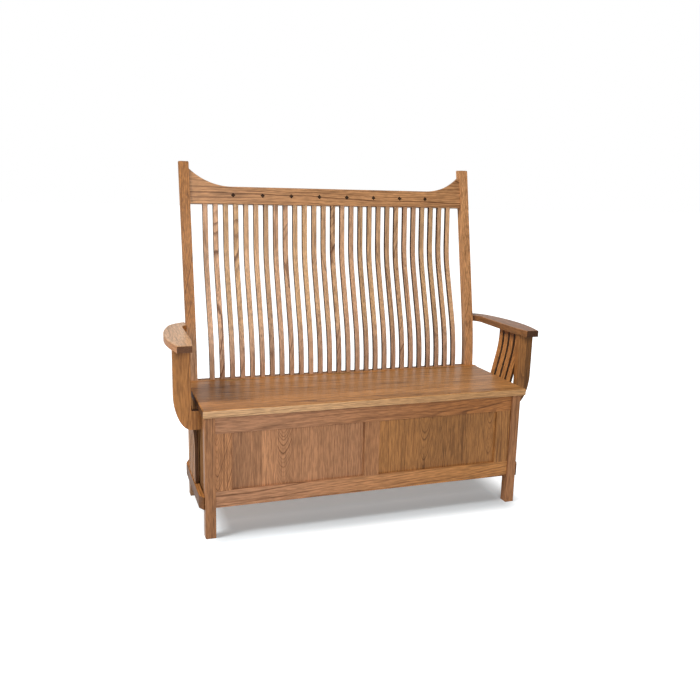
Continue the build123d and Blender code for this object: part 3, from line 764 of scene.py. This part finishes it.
def make_back_slats():
    """The bent slats of the back. A few are cut where the rings run out in flames."""
    for number, (tone, turn) in enumerate(zip(SLAT_TONES, SLAT_TURNS), start=1):
        swing = math.radians(turn)
        reach = NEAREST_PITH + PITH_STEP * (number * PITH_STRIDE % ROUND)
        wood_number = number * WOOD_STRIDE % ROUND % len(SLAT_WOODS)
        eased(
            f"back_slat_{number:02d}", "oak_slats", slat_corner, "Z", "X",
            easing=0.0014,
            start=SLAT_START_STEP * number,
            pith=(reach * math.cos(swing), reach * math.sin(swing)),
            tone=SLAT_LEVEL * tone,
            light=SLAT_WOODS[wood_number],
            # Near the seat they turn mauve: a painted sheen
            foot=MAUVE_SHEEN,
            # Their side faces are painted dark: painted shade, where the slats shade each other
            faces=FaceLook("X", SHADED_WOOD, DARK_WOOD),
            **(FLAMED_CUT if number in FLAMED_SLATS else PLAIN_CUT),
        )


def make_rails():
    """The crest rail, the strip behind the lid, and the rails of the front."""
    eased(
        "crest_rail", "oak_frame", crest_corner, "X", "Z",
        easing=0.0016, start=0.9, pith=(-0.045, 0.06), tone=0.95, figure=1.0, ring_width=0.0066,
    )
    eased(
        "seat_back_rail", "oak_seat", long_corner, "X", "Y",
        easing=0.0010, start=2.2, pith=(0.03, 0.05), tone=0.88, light=AMBER_WOOD,
        coat=0.0, gloss=0.1,
    )
    # Both front rails turn warmer towards the settle's right, the top one darker too: painted
    # shading, where the light falls off and grows warmer
    eased(
        "front_top_rail", "oak_frame", long_corner, "X", "Z",
        easing=0.0005, start=3.3, pith=(0.030, 0.040), tone=0.82, figure=0.75,
        ring_width=0.0060, taper=0.03, wander=0.035, light=PINK_WOOD, turning=CHESTNUT_SHADE_WOOD,
    )
    eased(
        "front_bottom_rail", "oak_frame", long_corner, "X", "Z",
        easing=0.0005, start=5.6, pith=(0.070, 0.05), tone=0.89, figure=1.0,
        ring_width=0.0080, taper=0.05, light=PINK_WOOD, turning=GOLD_WOOD,
    )


def make_stiles():
    """The three stiles between the rails of the front."""
    eased(
        "front_stile_left", "oak_frame", long_corner, "Z", "X",
        easing=0.0005, start=1.3, pith=(0.022, 0.014), tone=0.88, figure=1.0,
        ring_width=0.0065, taper=0.30, light=RUSSET_WOOD,
    )
    eased(
        "front_mid_stile", "oak_frame", long_corner, "Z", "X",
        easing=0.0005, start=6.3, pith=(0.090, 0.04), tone=0.72, figure=0.5, light=RUSSET_WOOD,
    )
    eased(
        "front_stile_right", "oak_frame", long_corner, "Z", "X",
        easing=0.0005, start=7.7, pith=(-0.060, 0.05), tone=0.72, light=GOLD_WOOD,
    )


# The two sides are cut alike, the right a little further along each tree, and given their own tones
# and woods
RIGHT_SHIFT = 0.7
# The right support is lighter over its left part and darker over its right
RIGHT_SUPPORT_TWO_TONES = (
    Board(-0.250, 1.00, 0.6, 0.020, 0.090, 0.02),
    Board(0.016, 0.66, 0.9, 0.100, 0.050, 0.04),
)
LEFT_SIDE = {
    "front_leg": dict(tone=0.69),
    # The left post turns paler near the seat: a painted sheen
    "rear_post": dict(tone=0.77, light=AMBER_WOOD, gloss=0.16, foot=PALE_PINK_WOOD),
    "arm_support": dict(tone=0.72, pith=(0.02, 0.09)),
    # The arm's flat faces are paler than its sides: a painted sheen on the top, and painted shade
    # on the sides
    "arm": dict(
        tone=0.99, light=SHADED_COPPER_WOOD, coat=0.25, faces=FaceLook("Z", PALE_WOOD, DARK_WOOD)
    ),
}
RIGHT_SIDE = {
    "front_leg": dict(tone=0.76),
    "rear_post": dict(tone=1.14),
    "arm_support": dict(tone=0.54, pith=(0.0, 0.0), boards=RIGHT_SUPPORT_TWO_TONES),
    # The arm's flat faces are paler than its sides: a painted sheen on the top, and painted shade
    # on the sides
    "arm": dict(
        tone=0.67, light=SHADED_BROWN_WOOD, coat=0.12, ends=(0.45, 0.75),
        faces=FaceLook("Z", ROSE_WOOD, DARK_WOOD),
    ),
}


def make_side(side, shift, look):
    """The leg, post and arm of one side, and what holds the arm up."""
    eased(
        f"front_leg_{side}", "oak_frame", long_corner, "Z", "X",
        easing=0.0004, start=0.4 + shift, pith=(0.07, 0.03), light=RUSSET_WOOD, **look["front_leg"],
    )
    eased(
        f"rear_post_{side}", "oak_frame", post_corner, "Z", "X",
        easing=0.0012, start=1.7 + shift, pith=(0.08, -0.04), **look["rear_post"],
    )
    eased(
        f"arm_support_{side}", "oak_frame", is_corner, "Z", "X",
        easing=0.0015, start=2.9 + shift, figure=0.6, light=AMBER_WOOD, **look["arm_support"],
    )
    eased(
        f"side_stretcher_{side}", "oak_frame", long_corner, "Y", "Z",
        easing=0.0012, start=4.1 + shift, pith=(0.05, 0.05), tone=0.78, light=AMBER_WOOD,
        # Its side faces are painted dim: painted shade, where little light reaches them
        coat=0.0, gloss=0.1, faces=FaceLook("X", SHADED_DIM_WOOD, DARK_WOOD),
    )
    eased(
        f"arm_slats_{side}", "oak_slats", slat_corner, "Z", "X",
        easing=0.0012, start=5.3 + shift, pith=(0.03, 0.10), tone=0.90, light=GOLD_WOOD,
        # Their front edges are painted dark: painted shade, where each slat is shaded by the one in
        # front
        faces=FaceLook("Y", SHADED_WOOD, DARK_WOOD),
    )
    eased(
        f"arm_{side}", "oak_frame", arm_corner, "Y", "X",
        easing=0.0008, start=6.1 + shift, pith=(0.05, 0.09), figure=0.45, **look["arm"],
    )


def make_lid():
    """The lid, glued up from boards, with pale sapwood and a painted highlight along its front
    edge.
    """
    eased(
        "seat_lid", "oak_seat", no_corner, "X", "Y",
        easing=0.0, start=0.61, board_width=0.088, tone=0.90, figure=1.0,
        ring_width=0.0065, light=SEAT_WOOD, turning=HONEY_WOOD, coat=0.12,
        # Its front edge is pale sapwood with a painted highlight, deeper towards the right
        faces=FaceLook("Y", SAPWOOD_AND_HIGHLIGHT, SAP_LINES, DEEP_SAPWOOD_AND_HIGHLIGHT),
    )


LEFT_PANEL_BOARDS = (
    Board(-0.250, 0.88, 1.0, 0.060, 0.030, 0.03),
    Board(-0.175, 1.00, 0.7, 0.090, 0.060, 0.01),
    Board(-0.133, 1.27, 0.4, -0.300, 0.020, 0.01),
    Board(-0.080, 1.00, 0.8, -0.056, 0.016, 0.30),
    Board(-0.031, 1.04, 0.4, 0.250, 0.080, 0.02),
    Board(0.115, 0.98, 0.6, 0.040, 0.050, 0.02),
    Board(0.170, 0.94, 1.0, 0.260, 0.030, 0.02),
)
RIGHT_PANEL_BOARDS = (
    Board(-0.250, 1.08, 0.6, -0.120, 0.050, 0.02),
    Board(-0.180, 1.04, 0.8, -0.300, 0.040, 0.02),
    Board(-0.085, 0.90, 0.8, -0.055, 0.022, 0.16),
    Board(0.010, 0.90, 0.8, 0.180, 0.060, 0.02),
    Board(0.130, 0.94, 0.7, 0.212, 0.020, 0.18),
)


def make_box():
    """The panels, floor and cleats of the box, which keep their plain edges."""
    for name, boards, start, tone, light in (
        ("front_panel_left", LEFT_PANEL_BOARDS, 1.15, 0.80, ROSE_WOOD),
        ("front_panel_right", RIGHT_PANEL_BOARDS, 4.65, 0.70, GOLD_WOOD),
    ):
        wood = oak(name, "Z", "X", start, pith=(0.0, 0.0), tone=tone, light=light, boards=boards)
        dress(name, wood)
    # The side panels are toned dark: painted shade, for they lie in the shadow of the arms
    for name, start in (("side_panel_left", 2.30), ("side_panel_right", 5.45)):
        dress(name, oak(name, "Z", "Y", start, board_width=0.090, tone=0.50, coat=0.0, gloss=0.0))
    for name, along, across, start, board_width, tone in (
        ("back_panel", "Z", "X", 3.20, 0.110, 0.80),
        ("box_floor", "X", "Y", 6.10, 0.100, 0.90),
        ("floor_cleats_long", "X", "Y", 7.20, None, 0.90),
        ("floor_cleats_side", "Y", "X", 8.40, None, 0.90),
    ):
        dress(name, oak(name, along, across, start, board_width=board_width, tone=tone))


make_back_slats()
make_rails()
make_stiles()
make_side("left", 0.0, LEFT_SIDE)
make_side("right", RIGHT_SHIFT, RIGHT_SIDE)
make_lid()
make_box()
peg_wood = speckled("dark peg wood", PEG_WOOD, roughness=0.55, repeats=400, gloss=0.15, spots=0.4)
dress("crest_pegs", peg_wood)
bronze = speckled("aged bronze", AGED_BRONZE, roughness=0.50, repeats=300, metallic=0.6)
for hinge_part in ("hinge_leaves_rail", "hinge_leaves_lid", "hinge_pins"):
    dress(hinge_part, bronze)

# Slotted screws of the hinges: three in each leaf, the middle one a little higher
HINGE_PLACES = (-0.420, 0.0, 0.420)
SCREW_OFFSETS = (-0.026, 0.0, 0.026)
SCREW_HEIGHT = 0.4437
SCREW_STAGGER = 0.0035
SCREW_RADIUS = 0.0029
SCREW_SIDES = 20
SCREW_PROUD = 0.00007
SLOT_HALF_WIDTH = 0.0004
SLOT_TURNS = (20, 57, 94)
LEAF_HALF_GAP = 0.00015


def screw_head():
    """The mesh of a low round head that is parted by its slot, flat at the origin."""
    head = bmesh.new()
    bmesh.ops.create_circle(head, cap_ends=True, segments=SCREW_SIDES, radius=SCREW_RADIUS)
    for slot_edge in (-SLOT_HALF_WIDTH, SLOT_HALF_WIDTH):
        bmesh.ops.bisect_plane(
            head,
            geom=[*head.verts, *head.edges, *head.faces],
            plane_co=(slot_edge, 0.0, 0.0),
            plane_no=AXES["X"],
        )
    slot = [face for face in head.faces if abs(face.calc_center_median().x) < SLOT_HALF_WIDTH]
    bmesh.ops.delete(head, geom=slot, context="FACES")
    raised = bmesh.ops.extrude_face_region(head, geom=head.faces[:], use_keep_orig=True)
    tops = [item for item in raised["geom"] if isinstance(item, bmesh.types.BMVert)]
    bmesh.ops.translate(head, verts=tops, vec=(0.0, 0.0, SCREW_PROUD))
    data = bpy.data.meshes.new("screw head")
    head.to_mesh(data)
    head.free()
    return data


def make_screws(piece_name, body, face_y, outward):
    """Screw heads that stand a hair proud of the three leaves on one side.

    outward is 1 where they face the front, and -1 where they face the back.
    """
    head = screw_head()
    mesh = bmesh.new()
    lie = Matrix.Rotation(math.radians(90 * outward), 4, "X")
    for hinge_x in HINGE_PLACES:
        for number, (offset, turn) in enumerate(zip(SCREW_OFFSETS, SLOT_TURNS)):
            height = SCREW_HEIGHT + (SCREW_STAGGER if number % 2 else -SCREW_STAGGER)
            place = Matrix.Translation((hinge_x + offset, face_y, height))
            swing = Matrix.Rotation(math.radians(turn), 4, "Z")
            made_before = len(mesh.verts)
            mesh.from_mesh(head)
            mesh.verts.ensure_lookup_table()
            new_verts = mesh.verts[made_before:]
            bmesh.ops.transform(mesh, matrix=place @ lie @ swing, verts=new_verts)
    bmesh.ops.recalc_face_normals(mesh, faces=mesh.faces)
    bpy.data.meshes.remove(head)
    screws = add_object(mesh, piece_name, bronze)
    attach(screws, body)


pin_low, pin_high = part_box("hinge_pins")
pin_y = (pin_low[1] + pin_high[1]) / 2
make_screws("hinge_screws_rail", "frame", pin_y + LEAF_HALF_GAP, 1)
make_screws("hinge_screws_lid", "lid", pin_y - LEAF_HALF_GAP, -1)

# The floor is white but for the settle's shadow, which is in a box round its middle
FLOOR_REACH = 40.0
FLOOR_COLOUR = (0.752, 0.800, 0.828, 1.0)
FLOOR_MOTTLE = (0.772, 0.820, 0.846, 1.0)
MOTTLE_REPEATS = (3.0, 3.0, 3.0)
SHADOW_MIDDLE_Y = -0.02
SHADOW_HALF_X = 0.53
SHADOW_HALF_Y = 0.25
SHADOW_FADE = 0.17
# The shadow is lit up a little more behind than in front
SHADOW_DEPTHS = (-0.24, -0.03)
SHADOW_TOP_UPS = (0.07, 0.25)

# Light from all round, and a backdrop that shines only in what mirrors it
AMBIENT_LEVEL = 0.20
GLOSS_DIM_LEVEL = 0.06
GLOSS_BACKDROP_LEVEL = 0.90
BACKDROP_BEHIND = (-0.1, 0.4)
BACKDROP_TOP = (0.18, 0.27)
BACKDROP_LEFT = (-0.22, 0.10)
LAMP_TARGET = (0.0, 0.0, 0.6)

# The photograph's viewpoint: its place, and its turns to the right, down and round
CAMERA_PLACE = (-0.94346, -2.68055, 1.17666)
CAMERA_TURNS = (19.426, 12.019, 1.462)
CAMERA_LENS = 39.19
SENSOR_WIDTH = 36.0


def seen_directly(tree, rays):
    """1 for what the camera sees itself or through glass, and 0 for the rest."""
    return calc(tree, "MAXIMUM", rays["Is Camera Ray"], rays["Is Transmission Ray"])


def past_shadow(tree, place):
    """How far a place on the floor lies outside the box of the shadow."""
    parts = split(tree, vector_calc(tree, "SUBTRACT", place, (0.0, SHADOW_MIDDLE_Y, 0.0)))
    beyond = []
    for axis, half in (("X", SHADOW_HALF_X), ("Y", SHADOW_HALF_Y)):
        past = calc(tree, "SUBTRACT", calc(tree, "ABSOLUTE", parts[axis]), half)
        beyond.append(calc(tree, "MAXIMUM", past, 0.0))
    return vector_calc(tree, "LENGTH", joined(tree, *beyond, 0.0))


def make_floor():
    """A wide pale floor, topped up to white where it is seen, and less so round the settle."""
    material, tree = new_material("pale floor")
    place = add_node(tree, "ShaderNodeTexCoord").outputs["Object"]
    mottle = noise(tree, place, MOTTLE_REPEATS)["Fac"]
    in_shadow = remap(tree, split(tree, place)["Y"], *SHADOW_DEPTHS, *SHADOW_TOP_UPS)
    top_up = remap(tree, past_shadow(tree, place), 0.0, SHADOW_FADE, in_shadow, 1.0)
    seen = seen_directly(tree, add_node(tree, "ShaderNodeLightPath").outputs)
    surface(
        tree,
        {
            "Base Color": mix_colour(tree, mottle, FLOOR_COLOUR, FLOOR_MOTTLE),
            "Roughness": 0.9,
            "Specular IOR Level": 0.0,
            "Emission Color": WHITE,
            "Emission Strength": calc(tree, "MULTIPLY", seen, top_up),
        },
    )
    mesh = bmesh.new()
    bmesh.ops.create_grid(mesh, x_segments=1, y_segments=1, size=FLOOR_REACH)
    floor = add_object(mesh, "studio_floor", material)


def make_world():
    """Soft light from all round, and a white studio where it is seen."""
    world = bpy.data.worlds.new("studio")
    bpy.context.scene.world = world
    world.use_nodes = True
    tree = world.node_tree
    tree.nodes.clear()
    parts = split(tree, add_node(tree, "ShaderNodeTexCoord").outputs["Generated"])
    behind = remap(tree, parts["Y"], *BACKDROP_BEHIND)
    low_down = remap(tree, parts["Z"], *BACKDROP_TOP, 1.0, 0.0)
    right = remap(tree, parts["X"], *BACKDROP_LEFT)
    backdrop = calc(tree, "MULTIPLY", calc(tree, "MULTIPLY", behind, low_down), right)
    in_gloss = remap(tree, backdrop, 0.0, 1.0, GLOSS_DIM_LEVEL, GLOSS_BACKDROP_LEVEL)
    rays = add_node(tree, "ShaderNodeLightPath").outputs
    levels = {"Factor": rays["Is Glossy Ray"], "A": AMBIENT_LEVEL, "B": in_gloss}
    strength = add_node(tree, "ShaderNodeMix", levels).outputs["Result"]
    strength = calc(tree, "MAXIMUM", strength, seen_directly(tree, rays))
    light = add_node(tree, "ShaderNodeBackground", {"Color": WHITE, "Strength": strength})
    output = add_node(tree, "ShaderNodeOutputWorld")
    tree.links.new(light.outputs["Background"], output.inputs["Surface"])


def aim(holder, source):
    """Turns a lamp so that it shines from a direction, and puts it in the scene."""
    holder.rotation_euler = source.to_track_quat("Z", "Y").to_euler()
    bpy.context.scene.collection.objects.link(holder)


def make_sun(name, level, azimuth, elevation, spread):
    """A wide soft light from a direction: azimuth 0 is the front, and 90 the right."""
    lamp = bpy.data.lights.new(name, "SUN")
    lamp.energy = level
    lamp.angle = math.radians(spread)
    turn, rise = math.radians(azimuth), math.radians(elevation)
    source = (math.sin(turn) * math.cos(rise), -math.cos(turn) * math.cos(rise), math.sin(rise))
    aim(bpy.data.objects.new(name, lamp), Vector(source))


def make_soft_box(name, power, size, place):
    """A square soft box that faces the settle."""
    lamp = bpy.data.lights.new(name, "AREA")
    lamp.energy = power
    lamp.shape = "SQUARE"
    lamp.size = size
    holder = bpy.data.objects.new(name, lamp)
    holder.location = place
    aim(holder, Vector(place) - Vector(LAMP_TARGET))


def make_camera():
    """The camera, set as the photograph's was."""
    yaw, pitch, roll = (math.radians(angle) for angle in CAMERA_TURNS)
    forward = Vector(
        (math.sin(yaw) * math.cos(pitch), math.cos(yaw) * math.cos(pitch), -math.sin(pitch))
    )
    right = Vector((math.cos(yaw), -math.sin(yaw), 0.0))
    up = right.cross(forward)
    tilted_right = math.cos(roll) * right + math.sin(roll) * up
    tilted_up = -math.sin(roll) * right + math.cos(roll) * up
    lens = bpy.data.cameras.new("camera")
    lens.lens = CAMERA_LENS
    lens.sensor_width = SENSOR_WIDTH
    camera = bpy.data.objects.new("camera", lens)
    axes = Matrix((tilted_right, tilted_up, -forward)).transposed()
    camera.matrix_world = Matrix.Translation(CAMERA_PLACE) @ axes.to_4x4()
    bpy.context.scene.collection.objects.link(camera)
    bpy.context.scene.camera = camera


make_camera()
make_floor()
make_world()
make_soft_box("side light", power=310.0, size=2.0, place=(-4.4, -0.8, 4.8))
make_soft_box("front light", power=56.0, size=1.5, place=(-0.3, -3.2, 1.9))
make_sun("back light", level=0.3, azimuth=165, elevation=40, spread=60)
bpy.context.scene.view_settings.view_transform = "Standard"
